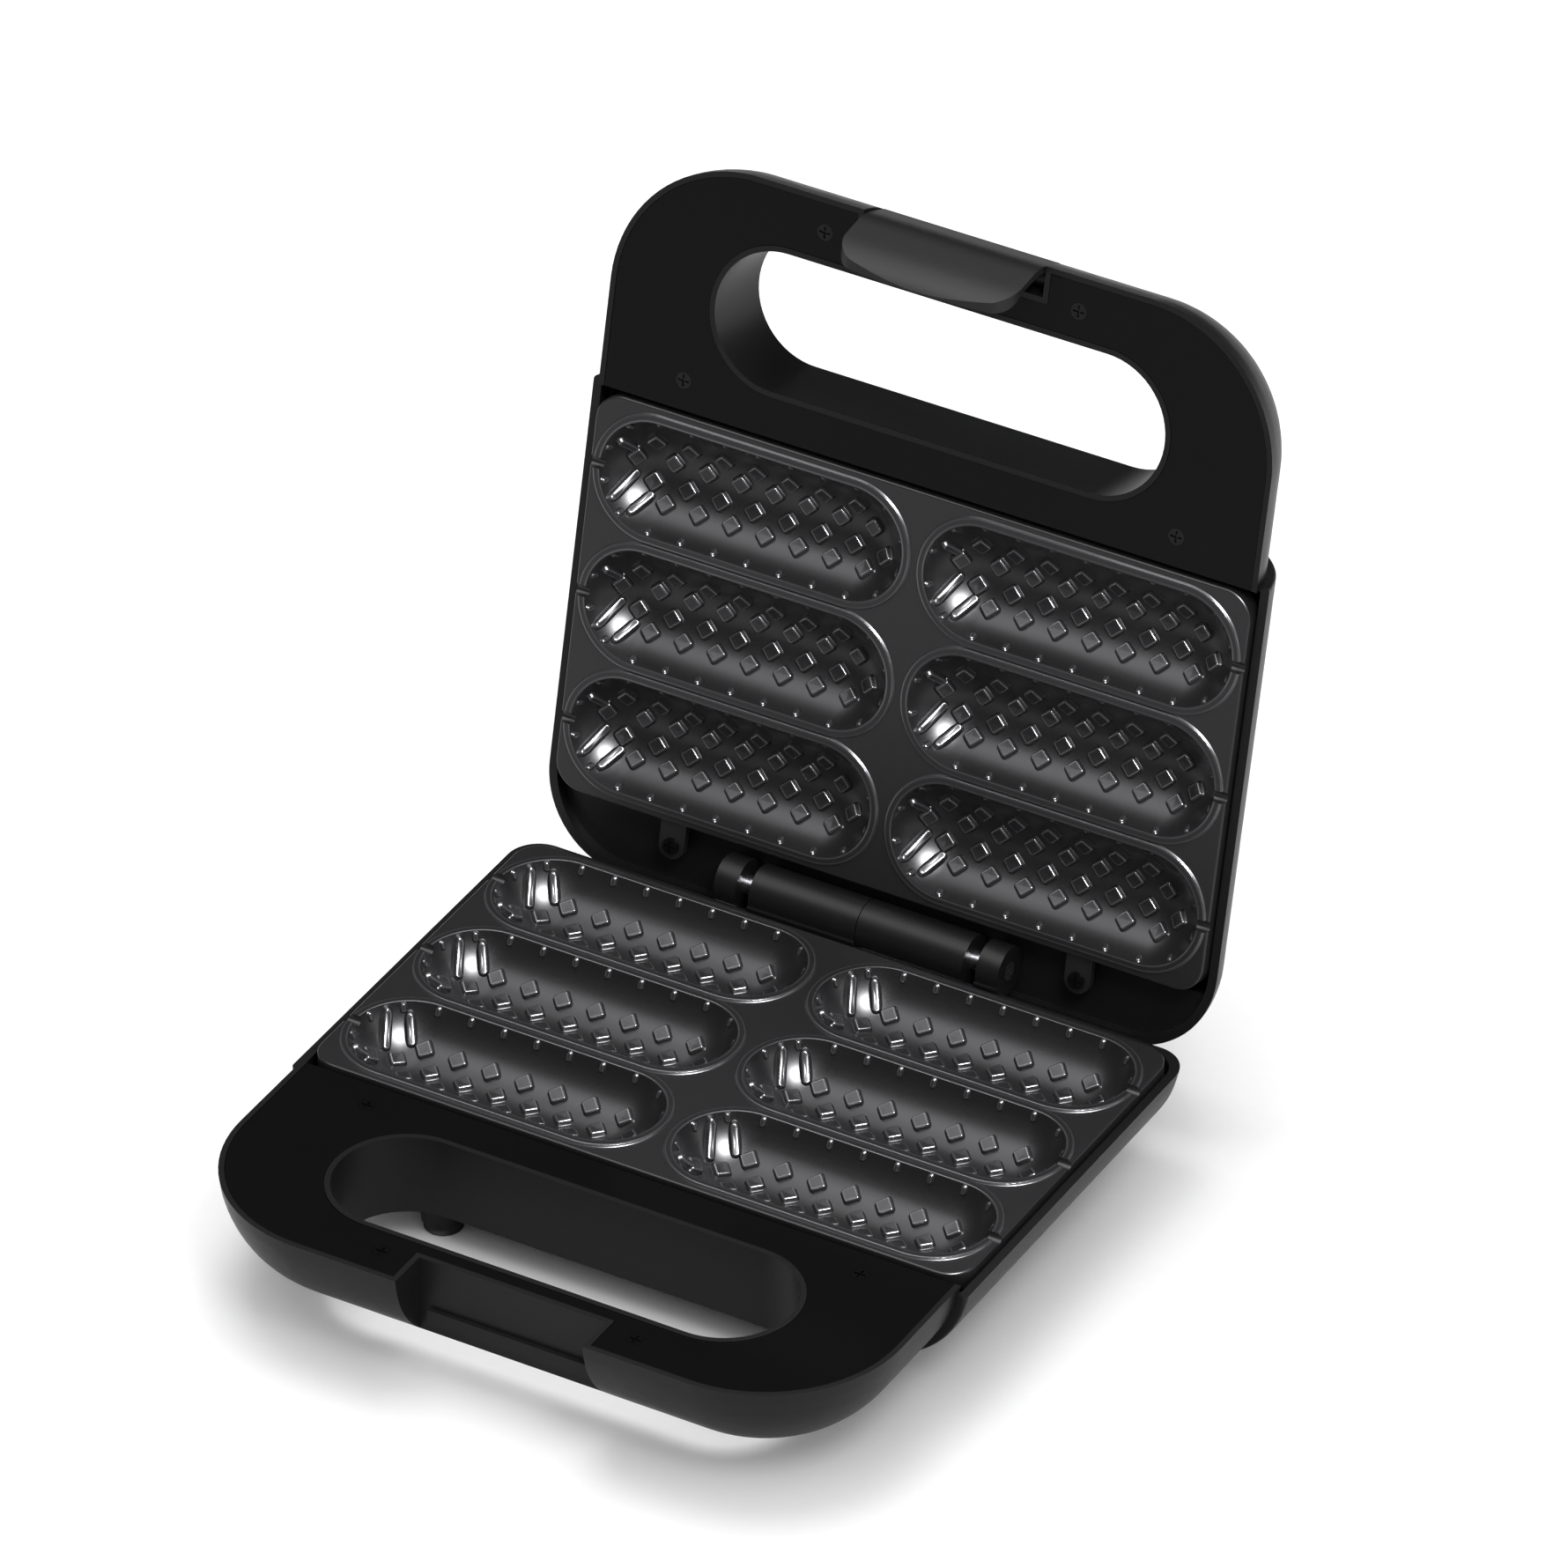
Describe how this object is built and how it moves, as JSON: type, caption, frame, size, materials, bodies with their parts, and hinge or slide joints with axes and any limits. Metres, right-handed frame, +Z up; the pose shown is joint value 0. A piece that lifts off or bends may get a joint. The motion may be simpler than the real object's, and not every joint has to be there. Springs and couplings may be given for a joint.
{
  "type": "stick waffle maker",
  "caption": "Hinged electric maker for bar-shaped waffles on sticks, lid open: cast plates with studded cavities, handle openings and a front latch.",
  "frame": {"origin": "centre of the bounding box in plan, at the height the rubber feet stand on, with the lid open", "axes": "+X to the right as seen from the front, +Y towards the hinge, +Z up"},
  "size_m": [0.2334, 0.3008, 0.2596],
  "materials": {
    "satin_plastic": "satin, finely textured",
    "gloss_plastic": "polished",
    "coated_casting": "dark non-stick coating, satin",
    "latch_plastic": "satin",
    "screw_steel": "blackened zinc",
    "heater_steel": "annealed",
    "reflector_sheet": "bright rolled",
    "wire_sleeve": "braided glass sleeve",
    "thermostat_body": "phenolic moulding",
    "ceramic": "fired ceramic",
    "block_plastic": "plain moulding",
    "black_rubber": "matte",
    "pin_steel": "ground",
    "lens": "clear tinted",
    "lamp_glass": "clear"
  },
  "bodies": {
    "base": {"lower_shell": "satin_plastic", "lower_handle_panel": "gloss_plastic", "lower_panel_screws": "screw_steel", "lower_plate": "coated_casting", "lower_plate_screws": "screw_steel", "lower_heater": "heater_steel", "lower_reflector": "reflector_sheet", "lower_wiring": "wire_sleeve", "thermostat": "thermostat_body", "thermal_fuse": "ceramic", "terminal_block": "block_plastic", "cord_bush": "black_rubber", "cord_clamp": "block_plastic", "rubber_feet": "black_rubber", "hinge_pin": "pin_steel"},
    "lid": {"upper_shell": "satin_plastic", "upper_handle_panel": "gloss_plastic", "upper_panel_screws": "screw_steel", "upper_plate": "coated_casting", "upper_plate_screws": "screw_steel", "upper_heater": "heater_steel", "upper_reflector": "reflector_sheet", "upper_wiring": "wire_sleeve", "lamp_lenses": "lens", "lamps": "lamp_glass", "latch_pin": "pin_steel"},
    "latch_body": {"latch": "latch_plastic", "latch_spring": "pin_steel"}
  },
  "joints": [
    {"name": "lid_hinge", "type": "hinge", "parent": "base", "child": "lid", "pos_m": [0, 0.07523, 0.04], "axis": [1, 0, 0], "range_deg": [0, 102.9]},
    {"name": "latch_pivot", "type": "hinge", "parent": "lid", "child": "latch_body", "pos_m": [0, 0.13296, 0.25176], "axis": [1, 0, 0], "range_deg": [-25, 0], "stiffness_Nm_per_rad": 0.02, "springref_deg": 34.38}
  ]
}
